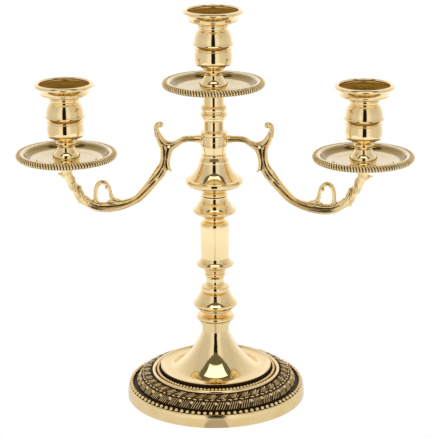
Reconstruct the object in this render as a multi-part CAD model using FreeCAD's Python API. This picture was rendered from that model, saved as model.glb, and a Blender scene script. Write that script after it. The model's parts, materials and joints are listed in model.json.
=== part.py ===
import FreeCAD, Part
import math
import os

from FreeCAD import Vector

# Three-light brass candelabra, in millimetres.
# Origin: centre of the base's underside. +Z up, the two arms lie along -X (left) and +X (right).
# Turned sections are stacked on one steel tie rod; the arm branch turns on the taper collar's spigot.

# --- driving dimensions -------------------------------------------------------------------------
overall_height = 340.0
arm_reach = 125.4            # column axis to the axis of a side cup
side_drop = 62.4             # a side cup's seat is this far below the centre cup's seat
cup_height = 68.3            # seat on the drip pan to the rim
cup_rim_radius = 25.3
candle_bore_radius = 11.0    # a 22 mm dinner candle
candle_bore_depth = 25.0
pan_radius = 42.9            # over the roped rim
base_radius = 77.2
shaft_radius = 12.3
hub_radius = 11.4
hub_height = 8.2

# --- fasteners ----------------------------------------------------------------------------------
rod_radius = 3.0             # M6
rod_hole_radius = 3.2
thread_clearance = 0.05
nut_across_flats = 10.0
nut_height = 5.2
washer_radius = 6.0
washer_thickness = 1.6
screw_head_radius = 5.0
screw_head_height = 4.0
screw_thread_depth = 8.0

# --- registers between the turned sections ------------------------------------------------------
spigot_radius = 5.2
spigot_height = 1.6
socket_clearance = 0.05
socket_extra_depth = 0.2
swivel_radius = 7.0
swivel_clearance = 0.05      # radial gap between hub and spigot
swivel_end_gap = 0.1         # gap above and below the hub

# --- drip pan -----------------------------------------------------------------------------------
rope_radius = 2.7
pan_rim_rise = 6.0           # seat to the middle of the roped rim
pan_wall = 2.2
pan_boss_radius = 9.0
pan_boss_thickness = 4.0

# --- candle cup ---------------------------------------------------------------------------------
cup_recess_radius = 7.5
cup_recess_floor = 25.5      # above the seat: the nut or screw head bears here
cup_bore_floor = 36.0

# --- base ---------------------------------------------------------------------------------------
dish_radius = 48.0
ledge_height = 22.0
ledge_inner_radius = 44.0
web_underside = 17.8
inner_bead_circle = 50.6
inner_bead_radius = 1.6
outer_bead_circle = 73.75
outer_bead_radius = 2.1
plate_radius = 52.0
plate_thickness = 2.0
rod_foot_clearance = 2.0     # rod end beyond the nut

# --- heights of the stack, from the base's underside --------------------------------------------
centre_seat = overall_height - cup_height
side_seat = centre_seat - side_drop
trumpet_top = 65.7
collar_top = 74.1
vase_top = 94.2
neck_top = 108.0
lower_ring_top = 126.0
shaft_top = 158.3
upper_ring_top = 180.5
bell_top = 218.2
shoulder_top = 225.9
hub_bottom = shoulder_top + swivel_end_gap
stem_bottom = hub_bottom + hub_height + swivel_end_gap
stem_top = centre_seat - pan_boss_thickness

# --- arm ----------------------------------------------------------------------------------------
bar_height = hub_bottom + 3.4
tenon_radius = 2.0
tenon_depth = 3.0
arm_boss_radius = 5.4
arm_boss_height = 7.0
curl_radius = 2.9
oval_points = 12


class Outline:
    """Half section in the X-Z plane, drawn step by step and turned about Z."""

    def __init__(self, radius, height):
        self.start = Vector(radius, 0, height)
        self.tip = self.start
        self.edges = []

    def line(self, radius, height):
        end = Vector(radius, 0, height)
        self.edges.append(Part.LineSegment(self.tip, end).toShape())
        self.tip = end
        return self

    def arc(self, radius, height, bulge):
        """Arc to a point; a positive bulge swells away from the axis."""
        end = Vector(radius, 0, height)
        chord = end - self.tip
        normal = Vector(chord.z, 0, -chord.x).normalize()
        if normal.x < 0 or (normal.x < 1e-9 and normal.z < 0):
            normal = normal * -1
        middle = (self.tip + end) * 0.5 + normal * bulge
        self.edges.append(Part.Arc(self.tip, middle, end).toShape())
        self.tip = end
        return self

    def flow(self, *points):
        """Smooth curve from the tip through the points."""
        through = [self.tip] + [Vector(radius, 0, height) for radius, height in points]
        curve = Part.BSplineCurve()
        curve.interpolate(through)
        self.edges.append(curve.toShape())
        self.tip = through[-1]
        return self

    def turned(self):
        if (self.tip - self.start).Length > 1e-6:
            self.line(self.start.x, self.start.z)
        face = Part.Face(Part.Wire(self.edges))
        return face.revolve(Vector(0, 0, 0), Vector(0, 0, 1), 360)


def post(radius, low, high, x=0.0):
    """Upright cylinder between two heights."""
    return Part.makeCylinder(radius, high - low, Vector(x, 0, low))


def ring(circle_radius, section_radius, height):
    return Part.makeTorus(circle_radius, section_radius, Vector(0, 0, height))


def moved(shape, x, z):
    copy = shape.copy()
    copy.translate(Vector(x, 0, z))
    return copy


def drilled_for_rod(body, low, high):
    return body.cut(post(rod_hole_radius, low - 1, high + 1))


def with_socket(body, low):
    """Counterbore underneath that takes the spigot of the section below."""
    depth = spigot_height + socket_extra_depth
    return body.cut(post(spigot_radius + socket_clearance, low - 1, low + depth))


def with_spigot(body, high):
    return body.fuse(post(spigot_radius, high - spigot_height, high + spigot_height))


def stacked(body, low, high, socket=True, spigot=True):
    """A turned section finished with its registers and its hole for the tie rod."""
    if spigot:
        body = with_spigot(body, high)
    if socket:
        body = with_socket(body, low)
    return drilled_for_rod(body, low, high + spigot_height)


# --- base ---------------------------------------------------------------------------------------
def base_ring():
    """Hollow cast foot: plain plinth, bead gutter, bulging ornament band, fillet, inner bead gutter."""
    section = Outline(base_radius - 3.0, 0)
    section.line(base_radius, 0)
    section.line(base_radius, 10.4)
    section.arc(base_radius - 1.5, 11.9, 0.4)
    section.line(base_radius - 1.7, 10.8)
    section.line(70.4, 10.8)
    section.line(69.6, 11.9)
    section.arc(56.2, 22.2, 2.8)
    section.arc(55.3, 23.2, -0.2)
    section.arc(52.9, 23.2, 0.9)
    section.line(52.7, ledge_height)
    section.line(ledge_inner_radius, ledge_height)
    section.line(ledge_inner_radius, web_underside)
    section.line(56.0, web_underside)
    section.arc(68.5, 8.6, 1.6)
    section.line(base_radius - 3.0, 7.4)
    body = section.turned()
    outer_beads = ring(outer_bead_circle, outer_bead_radius, 10.9 + outer_bead_radius * 0.5)
    inner_beads = ring(inner_bead_circle, inner_bead_radius, ledge_height + inner_bead_radius * 0.6)
    return body.fuse([outer_beads, inner_beads])


def foot_trumpet():
    """Spun foot: a trumpet that runs out into a shallow dish and stands on the base's ledge."""
    section = Outline(11.4, trumpet_top)
    section.line(11.4, 59.6)
    section.flow((12.6, 55.8), (16.1, 48.8), (20.2, 42.1), (25.9, 35.0), (33.6, 27.8), (38.0, 25.2),
                 (42.2, 24.6), (dish_radius - 0.4, 27.4))
    section.arc(dish_radius, 26.9, 0.15)
    section.line(dish_radius, ledge_height)
    section.line(dish_radius - 3.2, ledge_height)
    section.flow((42.4, 22.5), (38.2, 22.9), (33.0, 25.4), (24.4, 33.0), (18.4, 40.4), (14.4, 46.8),
                 (10.6, 50.2))
    section.line(0, 50.2)
    section.line(0, trumpet_top)
    return stacked(section.turned(), 50.2, trumpet_top, socket=False)


def clamp_plate():
    """Steel disc that the lower nut pulls against the base's web."""
    plate = post(plate_radius, web_underside - plate_thickness, web_underside)
    return drilled_for_rod(plate, web_underside - plate_thickness, web_underside)


# --- column -------------------------------------------------------------------------------------
def lower_collar():
    """Foot step under one full round ring."""
    section = Outline(0, trumpet_top)
    section.line(12.9, trumpet_top)
    section.line(12.9, 68.6)
    section.line(13.6, 69.3)
    section.arc(13.0, 73.9, 3.1)
    section.line(12.2, collar_top)
    section.line(0, collar_top)
    return stacked(section.turned(), trumpet_top, collar_top)


def vase_knop():
    section = Outline(0, collar_top)
    section.line(9.9, collar_top)
    section.line(10.1, 75.4)
    section.arc(12.7, 76.6, -0.3)
    section.line(12.9, 77.9)
    section.line(14.3, 78.5)
    section.arc(14.8, 80.2, 0.3)
    section.arc(18.3, 82.4, 0.5)
    section.arc(18.6, 85.6, 0.6)
    section.arc(14.6, 91.0, -0.3)
    section.arc(13.2, 93.8, -0.1)
    section.line(11.4, vase_top)
    section.line(0, vase_top)
    return stacked(section.turned(), collar_top, vase_top)


def spool_neck():
    section = Outline(0, vase_top)
    section.line(11.0, vase_top)
    section.line(11.7, 95.1)
    section.arc(11.6, 100.1, 0.7)
    section.line(10.0, 100.9)
    section.arc(7.5, 105.6, -0.9)
    section.line(7.5, 107.0)
    section.line(7.9, neck_top)
    section.line(0, neck_top)
    return stacked(section.turned(), vase_top, neck_top)


def lower_ring_knop():
    """Twin fine rings under a wide ring with a sloping shoulder."""
    section = Outline(0, neck_top)
    section.line(7.9, neck_top)
    section.line(8.3, 109.1)
    section.arc(8.7, 111.2, 0.6)
    section.line(8.0, 111.7)
    section.line(8.7, 112.2)
    section.arc(8.7, 114.5, 0.6)
    section.line(9.0, 115.6)
    section.arc(15.0, 118.7, -0.3)
    section.arc(15.4, 121.2, 1.0)
    section.arc(12.4, 125.0, -0.4)
    section.line(12.0, lower_ring_top)
    section.line(0, lower_ring_top)
    return stacked(section.turned(), neck_top, lower_ring_top)


def column_shaft():
    section = Outline(0, lower_ring_top)
    section.line(shaft_radius - 0.3, lower_ring_top)
    section.arc(shaft_radius + 0.2, 154.0, 0.15)
    section.arc(10.2, shaft_top, 0.9)
    section.line(0, shaft_top)
    return stacked(section.turned(), lower_ring_top, shaft_top)


def upper_ring_knop():
    """Small neck, wide sharp ring, sloping shoulder and a cove up to the bell."""
    section = Outline(0, shaft_top)
    section.line(8.6, shaft_top)
    section.arc(8.9, 161.3, 0.3)
    section.arc(12.4, 164.2, -0.6)
    section.arc(17.4, 166.1, 0.4)
    section.arc(18.3, 168.7, 0.8)
    section.arc(15.0, 171.8, -0.2)
    section.line(14.1, 174.2)
    section.arc(11.2, upper_ring_top, -0.9)
    section.line(0, upper_ring_top)
    return stacked(section.turned(), shaft_top, upper_ring_top)


def bell_knop():
    """Under-bead, thick rounded disc, concave bell and a light bead on top."""
    section = Outline(0, upper_ring_top)
    section.line(9.6, upper_ring_top)
    section.arc(10.6, 183.8, 0.9)
    section.arc(19.4, 189.4, -1.0)
    section.arc(23.2, 190.7, 0.3)
    section.arc(23.6, 195.9, 1.3)
    section.line(22.3, 196.5)
    section.flow((18.7, 199.6), (16.2, 202.4), (13.8, 206.7), (12.3, 210.6))
    section.arc(11.7, 213.2, 0.35)
    section.line(10.2, 215.2)
    section.arc(9.8, 217.9, 0.7)
    section.line(9.2, bell_top)
    section.line(0, bell_top)
    return stacked(section.turned(), upper_ring_top, bell_top)


def taper_collar():
    """Tapered collar whose tall spigot carries the arm hub and the stem above it."""
    section = Outline(0, bell_top)
    section.line(9.8, bell_top)
    section.line(10.8, 224.2)
    section.line(hub_radius - 0.1, 224.8)
    section.line(hub_radius - 0.1, shoulder_top)
    section.line(swivel_radius, shoulder_top)
    section.line(swivel_radius, stem_bottom)
    section.line(0, stem_bottom)
    return stacked(section.turned(), bell_top, stem_bottom)


def upper_stem():
    """Slim stem with a foot flange and twin rings, under the centre drip pan."""
    section = Outline(0, stem_bottom)
    section.line(11.2, stem_bottom)
    section.arc(11.1, 236.9, 0.25)
    section.arc(8.4, 239.0, -0.5)
    section.line(8.4, 245.9)
    section.arc(10.2, 247.6, -0.3)
    section.line(10.5, 249.2)
    section.arc(10.0, 253.5, 1.1)
    section.arc(10.2, 254.6, -0.2)
    section.arc(8.7, 259.5, 1.6)
    section.line(8.6, stem_top)
    section.line(0, stem_top)
    return stacked(section.turned(), stem_bottom, stem_top, spigot=False)


# --- drip pans and candle cups ------------------------------------------------------------------
def drip_pan():
    """Cast pan, seat at height zero: flat floor, low step, steep wall, lip, roped rim, boss underneath."""
    rim_circle = pan_radius - rope_radius
    section = Outline(0, 0)
    section.line(11.8, 0)
    section.line(24.6, 1.5)
    section.arc(26.2, 2.3, -0.15)
    section.line(30.2, 3.1)
    section.arc(36.4, 7.9, -0.8)
    section.arc(38.2, 8.6, 0.2)
    section.line(rim_circle, 8.2)
    section.line(rim_circle, 4.6)
    section.arc(30.4, 1.2, 0.5)
    section.line(12.0, -1.9)
    section.line(pan_boss_radius, -pan_wall)
    section.line(pan_boss_radius - 0.6, -pan_boss_thickness)
    section.line(0, -pan_boss_thickness)
    pan = section.turned().fuse(ring(rim_circle, rope_radius, pan_rim_rise))
    return drilled_for_rod(pan, -pan_boss_thickness, 0)


def candle_cup():
    """Cup, seat at height zero: bulb foot, barrel with a pointed mid band, neck ring, wide flared bowl."""
    bore_mouth = cup_bore_floor + candle_bore_depth
    section = Outline(0, 0)
    section.line(10.8, 0)
    section.line(11.0, 1.8)
    section.arc(11.2, 7.2, 0.8)
    section.arc(7.5, 13.0, -0.5)
    section.arc(7.9, 14.8, -0.3)
    section.arc(8.2, 18.0, 0.5)
    section.arc(14.9, 22.5, -0.7)
    section.line(15.2, 23.3)
    section.arc(15.0, 33.8, 0.7)
    section.line(15.0, 34.3)
    section.arc(15.1, 36.1, 0.7)
    section.line(15.3, 36.5)
    section.arc(17.2, 39.4, -0.2)
    section.arc(15.9, 41.8, -0.2)
    section.arc(13.3, 50.7, 0.6)
    section.line(12.2, 51.8)
    section.line(12.1, 52.8)
    section.arc(12.3, 56.0, 0.6)
    section.arc(20.2, 58.6, 0.5)
    section.arc(20.9, 60.4, 0.35)
    section.arc(24.9, 65.4, -0.5)
    section.arc(cup_rim_radius - 0.5, 67.2, 0.4)
    section.arc(22.4, cup_height, 0.25)
    section.arc(21.4, 67.3, 0.15)
    section.arc(18.4, bore_mouth + 0.9, 0.9)
    section.arc(17.2, bore_mouth, -0.3)
    section.line(candle_bore_radius, bore_mouth)
    section.line(candle_bore_radius, cup_bore_floor)
    section.line(cup_recess_radius, cup_bore_floor)
    section.line(cup_recess_radius, cup_recess_floor)
    section.line(0, cup_recess_floor)
    return drilled_for_rod(section.turned(), 0, cup_recess_floor)


# --- arms ---------------------------------------------------------------------------------------
def section_oval(centre, along, half_width, half_thickness):
    """Oval wire square to the arm's path, its width in the plane of the arm."""
    across = Vector(-along.z, 0, along.x).normalize()
    side = Vector(0, 1, 0)
    points = []
    for step in range(oval_points):
        angle = 2 * math.pi * step / oval_points
        reach = across * half_width * math.cos(angle) + side * half_thickness * math.sin(angle)
        points.append(centre + reach)
    curve = Part.BSplineCurve()
    curve.interpolate(points, PeriodicFlag=True)
    return Part.Wire([curve.toShape()])


def limb(stations):
    """Loft through (x, z, half width, half thickness) stations."""
    centres = [Vector(x, 0, z) for x, z, _, _ in stations]
    wires = []
    for index, (x, z, half_width, half_thickness) in enumerate(stations):
        before = centres[max(index - 1, 0)]
        after = centres[min(index + 1, len(centres) - 1)]
        wires.append(section_oval(centres[index], after - before, half_width, half_thickness))
    return Part.makeLoft(wires, True)


def arm_right():
    """S-scroll arm: bar from the hub, body with an upstanding curled horn, crook, riser to the pan."""
    top = side_seat - pan_boss_thickness
    bar = limb([
        (hub_radius - 1.2, bar_height, 3.2, 3.0), (15.5, bar_height + 0.5, 2.8, 2.8),
        (21.0, bar_height + 0.6, 2.5, 2.7), (26.5, bar_height - 0.3, 2.6, 2.9),
        (31.5, bar_height - 3.1, 2.8, 3.1), (36.5, bar_height - 5.0, 2.9, 3.3),
        (42.5, bar_height - 6.0, 3.2, 3.3)])
    body = limb([
        (46.2, 243.3, 1.6, 2.0), (48.0, 242.0, 1.9, 2.2), (48.7, 238.8, 2.3, 2.5), (47.7, 234.2, 3.0, 2.9),
        (46.0, 229.2, 3.7, 3.3), (43.2, 223.0, 4.5, 3.7), (41.2, 217.6, 4.8, 3.9), (41.0, 212.4, 4.6, 4.0),
        (42.9, 205.6, 5.4, 4.2), (47.1, 198.4, 5.6, 4.2), (52.3, 191.4, 4.9, 4.1), (58.0, 184.0, 4.5, 3.9),
        (64.6, 177.6, 4.1, 3.7), (73.4, 172.6, 4.3, 3.7), (84.0, 169.4, 4.5, 3.8), (95.0, 168.5, 4.2, 3.7),
        (104.4, 170.4, 3.9, 3.6), (111.6, 174.8, 3.8, 3.7), (116.8, 181.6, 4.1, 4.0),
        (120.9, 189.0, 4.4, 4.3), (124.2, 195.4, 4.7, 4.7), (arm_reach, top - 4.5, 4.9, 4.9)])
    crook = limb([
        (97.6, 169.0, 3.0, 3.0), (99.4, 177.0, 2.7, 2.9), (100.6, 183.4, 2.4, 2.8),
        (99.4, 188.8, 2.2, 2.7), (95.4, 190.9, 2.5, 2.8), (91.4, 188.4, 2.6, 2.8),
        (89.2, 183.4, 2.4, 2.8), (87.0, 177.4, 3.0, 3.0), (84.0, 171.6, 3.2, 3.2)])
    leaf_lip = limb([(42.5, 209.5, 3.0, 3.0), (38.8, 204.5, 2.0, 2.4), (36.2, 201.4, 0.8, 1.2)])
    arm = body.fuse([
        bar, crook, leaf_lip,
        Part.makeSphere(curl_radius, Vector(45.0, 0, 242.1)),
        post(arm_boss_radius, top - arm_boss_height, top, arm_reach)])
    arm = arm.cut(post(hub_radius + 0.02, hub_bottom - 5, hub_bottom + hub_height + 5))
    tenon_start = Vector(hub_radius - tenon_depth, 0, bar_height)
    tenon = Part.makeCylinder(tenon_radius, tenon_depth + 1.0, tenon_start, Vector(1, 0, 0))
    arm = arm.fuse(tenon)
    thread = post(rod_radius + thread_clearance, top - screw_thread_depth - 1.0, top + 1, arm_reach)
    return arm.cut(thread).removeSplitter()


def arm_hub():
    """Ring that turns on the collar's spigot: skirt, raised band, a blind socket for each arm's tenon."""
    bore = swivel_radius + swivel_clearance
    top = hub_bottom + hub_height
    section = Outline(bore, hub_bottom)
    section.line(hub_radius - 0.6, hub_bottom)
    section.line(hub_radius - 0.6, hub_bottom + 2.8)
    section.arc(hub_radius, hub_bottom + 3.4, 0.15)
    section.line(hub_radius, top - 0.8)
    section.arc(hub_radius - 0.8, top, 0.25)
    section.line(bore, top)
    hub = section.turned()
    for side in (-1, 1):
        start = Vector(side * (hub_radius - tenon_depth - 0.05), 0, bar_height)
        outward = Vector(side, 0, 0)
        socket = Part.makeCylinder(tenon_radius + socket_clearance, tenon_depth + 2, start, outward)
        hub = hub.cut(socket)
    return hub


# --- fasteners ----------------------------------------------------------------------------------
lower_washer_top = web_underside - plate_thickness
lower_nut_top = lower_washer_top - washer_thickness
upper_washer_bottom = centre_seat + cup_recess_floor
upper_nut_bottom = upper_washer_bottom + washer_thickness


def tie_rod():
    low = lower_nut_top - nut_height - rod_foot_clearance
    high = upper_nut_bottom + nut_height + 0.9
    return post(rod_radius, low, high)


def hex_nut(low):
    corner = nut_across_flats / math.sqrt(3)
    corners = [Vector(corner * math.cos(math.radians(60 * i)), corner * math.sin(math.radians(60 * i)), low)
               for i in range(7)]
    body = Part.Face(Part.makePolygon(corners)).extrude(Vector(0, 0, nut_height))
    return body.cut(post(rod_radius + thread_clearance, low - 1, low + nut_height + 1))


def washer(low):
    return post(washer_radius, low, low + washer_thickness).cut(post(rod_hole_radius, low - 1, low + 3))


def cup_screw(x):
    """Cheese-head screw from a side cup's recess down into the arm."""
    seat = side_seat + cup_recess_floor
    tip = side_seat - pan_boss_thickness - screw_thread_depth
    head = post(screw_head_radius, seat, seat + screw_head_height, x)
    slot = Part.makeBox(2 * screw_head_radius + 2, 1.2, 1.6)
    slot.translate(Vector(x - screw_head_radius - 1, -0.6, seat + screw_head_height - 1.5))
    return head.fuse(post(rod_radius, tip, seat + 1, x)).cut(slot)


def mirrored(shape):
    return shape.mirror(Vector(0, 0, 0), Vector(1, 0, 0))


def nodes():
    pan = drip_pan()
    cup = candle_cup()
    arm = arm_right()
    return {
        "base_ring": base_ring(),
        "foot_trumpet": foot_trumpet(),
        "clamp_plate": clamp_plate(),
        "tie_rod": tie_rod(),
        "rod_nuts": Part.makeCompound([hex_nut(lower_nut_top - nut_height), hex_nut(upper_nut_bottom)]),
        "rod_washers": Part.makeCompound([washer(lower_nut_top), washer(upper_washer_bottom)]),
        "lower_collar": lower_collar(),
        "vase_knop": vase_knop(),
        "spool_neck": spool_neck(),
        "lower_ring_knop": lower_ring_knop(),
        "column_shaft": column_shaft(),
        "upper_ring_knop": upper_ring_knop(),
        "bell_knop": bell_knop(),
        "taper_collar": taper_collar(),
        "arm_hub": arm_hub(),
        "left_arm": mirrored(arm),
        "right_arm": arm,
        "upper_stem": upper_stem(),
        "centre_drip_pan": moved(pan, 0, centre_seat),
        "left_drip_pan": moved(pan, -arm_reach, side_seat),
        "right_drip_pan": moved(pan, arm_reach, side_seat),
        "centre_candle_cup": moved(cup, 0, centre_seat),
        "left_candle_cup": moved(cup, -arm_reach, side_seat),
        "right_candle_cup": moved(cup, arm_reach, side_seat),
        "cup_screws": Part.makeCompound([cup_screw(-arm_reach), cup_screw(arm_reach)]),
    }


def main():
    os.makedirs("parts", exist_ok=True)
    for name, shape in nodes().items():
        box = shape.BoundBox
        print(f"{name:18s} solids {len(shape.Solids)} valid {shape.isValid()} volume {shape.Volume:9.0f}"
              f"  x {box.XMin:7.1f} {box.XMax:7.1f}  z {box.ZMin:7.1f} {box.ZMax:7.1f}")
        shape.exportStep(os.path.join("parts", name + ".step"))


main()
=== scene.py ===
import json
import math

import bpy
import numpy as np
from mathutils import Matrix, Vector


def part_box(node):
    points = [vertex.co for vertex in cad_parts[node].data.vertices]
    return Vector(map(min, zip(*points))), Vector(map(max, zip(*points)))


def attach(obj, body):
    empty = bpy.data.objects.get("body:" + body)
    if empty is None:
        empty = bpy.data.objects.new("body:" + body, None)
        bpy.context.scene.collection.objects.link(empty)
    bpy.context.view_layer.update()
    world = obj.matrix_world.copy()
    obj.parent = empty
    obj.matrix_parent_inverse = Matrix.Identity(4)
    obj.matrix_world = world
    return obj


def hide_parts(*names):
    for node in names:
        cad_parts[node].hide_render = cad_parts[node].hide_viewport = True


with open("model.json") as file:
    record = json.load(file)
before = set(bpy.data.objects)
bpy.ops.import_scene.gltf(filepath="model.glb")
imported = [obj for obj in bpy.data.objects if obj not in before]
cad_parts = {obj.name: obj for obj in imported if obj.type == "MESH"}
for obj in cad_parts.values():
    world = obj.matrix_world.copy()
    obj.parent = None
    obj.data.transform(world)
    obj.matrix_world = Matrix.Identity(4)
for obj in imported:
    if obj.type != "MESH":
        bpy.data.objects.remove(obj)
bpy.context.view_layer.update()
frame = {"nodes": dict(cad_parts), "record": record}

MM = 0.001
TURN = 2 * math.pi
Z_AXIS = np.array([0.0, 0.0, 1.0])

# --- places read from the frame, in metres ------------------------------------------------------
PAN_NAMES = ("centre", "left", "right")


def pan_centre(name):
    """Axis and seat height of a drip pan, from its candle cup's lowest point."""
    low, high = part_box(f"{name}_candle_cup")
    return Vector(((low.x + high.x) / 2, (low.y + high.y) / 2, low.z))


# --- mesh helpers -------------------------------------------------------------------------------
def store_recess(mesh, recess):
    """Keep a value per point that the materials read: 0 on open faces, 1 in deep recesses; on some pieces it
    also carries painted shade.
    """
    layer = mesh.attributes.new("recess", "FLOAT", "POINT")
    layer.data.foreach_set("value", np.asarray(recess, dtype=np.float32).ravel())


def put_in_scene(name, mesh):
    piece = bpy.data.objects.new(name, mesh)
    bpy.context.scene.collection.objects.link(piece)
    return piece


def make_object(name, points, faces, recess=None):
    mesh = bpy.data.meshes.new(name)
    mesh.from_pydata([tuple(p) for p in points], [], faces)
    mesh.validate()
    mesh.shade_smooth()
    if recess is not None:
        store_recess(mesh, recess)
    return put_in_scene(name, mesh)


def torus_faces(columns, rows):
    """Quads of a grid closed both ways: columns round the axis, rows round the section."""
    faces = []
    for i in range(columns):
        j = (i + 1) % columns
        for k in range(rows):
            m = (k + 1) % rows
            faces.append((i * rows + k, j * rows + k, j * rows + m, i * rows + m))
    return faces


def around_axis(radius, height, columns):
    """Points of a section (radius, height per row, or per column and row) swept round Z."""
    angle = np.arange(columns) / columns * TURN
    radius = np.broadcast_to(radius, (columns, np.shape(radius)[-1]))
    height = np.broadcast_to(height, radius.shape)
    return np.stack([radius * np.cos(angle)[:, None], radius * np.sin(angle)[:, None], height], axis=-1)


def swept_ring(name, radius, height, columns, recess=None):
    points = around_axis(radius, height, columns)
    rows = points.shape[1]
    flat = None if recess is None else np.broadcast_to(recess, (columns, rows))
    return make_object(name, points.reshape(-1, 3), torus_faces(columns, rows), flat)


def smooth_step(low, high, value):
    t = np.clip((value - low) / (high - low), 0.0, 1.0)
    return t * t * (3 - 2 * t)


def curve_through(stations, per_span):
    """Catmull-Rom curve through rows of numbers."""
    stations = np.asarray(stations, dtype=float)
    padded = np.vstack([2 * stations[0] - stations[1], stations, 2 * stations[-1] - stations[-2]])
    rows = []
    for i in range(len(stations) - 1):
        a, b, c, d = padded[i:i + 4]
        for t in np.arange(per_span) / per_span:
            rows.append(0.5 * (2 * b + (c - a) * t + (2 * a - 5 * b + 4 * c - d) * t ** 2
                               + (3 * b - a - 3 * c + d) * t ** 3))
    rows.append(stations[-1])
    return np.array(rows)


# --- materials ----------------------------------------------------------------------------------
def new_material(name):
    material = bpy.data.materials.new(name)
    material.use_nodes = True
    tree = material.node_tree
    return material, tree, tree.nodes["Principled BSDF"]


def noise(tree, scale, detail=3.0, stretch=None):
    """Noise in the object's own metres, optionally stretched along an axis."""
    place = tree.nodes.new("ShaderNodeTexCoord")
    texture = tree.nodes.new("ShaderNodeTexNoise")
    texture.inputs["Scale"].default_value = scale
    texture.inputs["Detail"].default_value = detail
    source = place.outputs["Object"]
    if stretch is not None:
        mapping = tree.nodes.new("ShaderNodeMapping")
        mapping.inputs["Scale"].default_value = stretch
        tree.links.new(source, mapping.inputs["Vector"])
        source = mapping.outputs["Vector"]
    tree.links.new(source, texture.inputs["Vector"])
    return texture.outputs["Fac"]


def ranged(tree, value, low, high, out_low, out_high):
    node = tree.nodes.new("ShaderNodeMapRange")
    node.inputs["From Min"].default_value = low
    node.inputs["From Max"].default_value = high
    node.inputs["To Min"].default_value = out_low
    node.inputs["To Max"].default_value = out_high
    tree.links.new(value, node.inputs["Value"])
    return node.outputs["Result"]


def mixed(tree, factor, first, second, blend="MIX"):
    """Mix of two colours, each plain or another node's output; they may be brighter than white."""
    node = tree.nodes.new("ShaderNodeMix")
    node.data_type = "RGBA"
    node.blend_type = blend
    for socket, value in ((node.inputs[0], factor), (node.inputs[6], first), (node.inputs[7], second)):
        if isinstance(value, tuple):
            socket.default_value = (*value, 1.0)
        elif isinstance(value, float):
            socket.default_value = value
        else:
            tree.links.new(value, socket)
    return node.outputs[2]


def recess_amount(tree):
    """What store_recess kept on the piece's own mesh."""
    node = tree.nodes.new("ShaderNodeAttribute")
    node.attribute_name = "recess"
    return node.outputs["Fac"]


def maths(tree, operation, first, second=None):
    """A maths node on numbers or other nodes' outputs."""
    node = tree.nodes.new("ShaderNodeMath")
    node.operation = operation
    for index, value in enumerate((first, second)):
        if value is None:
            continue
        if isinstance(value, (int, float)):
            node.inputs[index].default_value = value
        else:
            tree.links.new(value, node.inputs[index])
    return node.outputs["Value"]


def radius_and_height(tree, axis_x=0.0):
    """Distance from an upright axis and height, in the object's own metres."""
    place = tree.nodes.new("ShaderNodeTexCoord")
    split = tree.nodes.new("ShaderNodeSeparateXYZ")
    tree.links.new(place.outputs["Object"], split.inputs["Vector"])
    across = maths(tree, "SUBTRACT", split.outputs["X"], axis_x)
    squares = maths(tree, "ADD", maths(tree, "MULTIPLY", across, across),
                    maths(tree, "MULTIPLY", split.outputs["Y"], split.outputs["Y"]))
    return maths(tree, "SQRT", squares), split.outputs["Z"]


def bumped(tree, shader, height, strength, distance):
    node = tree.nodes.new("ShaderNodeBump")
    node.inputs["Strength"].default_value = strength
    node.inputs["Distance"].default_value = distance
    tree.links.new(height, node.inputs["Height"])
    tree.links.new(node.outputs["Normal"], shader.inputs["Normal"])


BRASS = (0.93, 0.73, 0.38)
BRASS_DEEP = (0.91, 0.70, 0.35)
# dull gold darkened as painted shade inside the candle cups
DULL_SHADED_GOLD = (0.36, 0.19, 0.025)
PATINA = (0.045, 0.024, 0.008)
PATINA_WARM = (0.32, 0.17, 0.030)
CAST_BRASS_DEEP = (0.88, 0.66, 0.30)
PAN_GOLD = (0.82, 0.69, 0.43)
PAN_GOLD_DEEP = (0.77, 0.64, 0.38)
# painted shade colour for the drip pans' steep inner wall
PAN_WALL_SHADE = (0.36, 0.25, 0.09)
ZINC = (0.62, 0.63, 0.64)
ZINC_DARK = (0.48, 0.49, 0.51)


def polished_brass(name, patina_and_shade_mask=None, patina_and_shade=PATINA):
    """Buffed, lacquered brass: faint tone drift, hairline polishing marks round the turned sections.

    The optional mask builder gives 0 to 1 over the darker places: patina on the foot's dish edge, and on the
    candle cups dull unpolished brass with painted shade in the bowl and bore.
    """
    material, tree, shader = new_material(name)
    shader.inputs["Metallic"].default_value = 1.0
    tone = ranged(tree, noise(tree, 28.0), 0.35, 0.65, 0.0, 1.0)
    colour = mixed(tree, tone, BRASS, BRASS_DEEP)
    lines = noise(tree, 420.0, 4.0, stretch=(0.15, 0.15, 6.0))
    roughness = ranged(tree, lines, 0.3, 0.7, 0.035, 0.085)
    if patina_and_shade_mask is not None:
        # the masked places take the darker colour: patina on the foot's dish edge, dull brass with painted
        # shade inside the candle cups
        mask = patina_and_shade_mask(tree)
        colour = mixed(tree, mask, colour, patina_and_shade)
        roughness = maths(tree, "ADD", roughness, maths(tree, "MULTIPLY", mask, 0.45))
    tree.links.new(colour, shader.inputs["Base Color"])
    tree.links.new(roughness, shader.inputs["Roughness"])
    bumped(tree, shader, lines, 0.02, 0.00005)
    return material


DISH_EDGE_RADIUS = 47.8 * MM
DISH_EDGE_TOP = 27.2 * MM
# The candle cup's bowl, the bowl's lip and the bore, which get dull brass and painted shade: radius and its
# fade inward, then height above the seat and its fade upward.
CUP_HOLLOWS = [(20.9 * MM, 0.3 * MM, 60.6 * MM, 0.2 * MM), (21.4 * MM, 0.2 * MM, 62.0 * MM, 0.4 * MM),
               (11.6 * MM, 0.3 * MM, 25.0 * MM, 0.2 * MM)]


def beyond(tree, value, edge, fade):
    """0 at an edge, 1 once the value is past it by the fade, which is negative for values below the edge."""
    return ranged(tree, value, edge, edge + fade, 0.0, 1.0)


def dish_edge(tree):
    """Upright edge of the foot's dish, above the inner beads."""
    radius, height = radius_and_height(tree)
    return maths(tree, "MULTIPLY", beyond(tree, radius, DISH_EDGE_RADIUS, 0.12 * MM),
                 beyond(tree, height, DISH_EDGE_TOP, -0.4 * MM))


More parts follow.
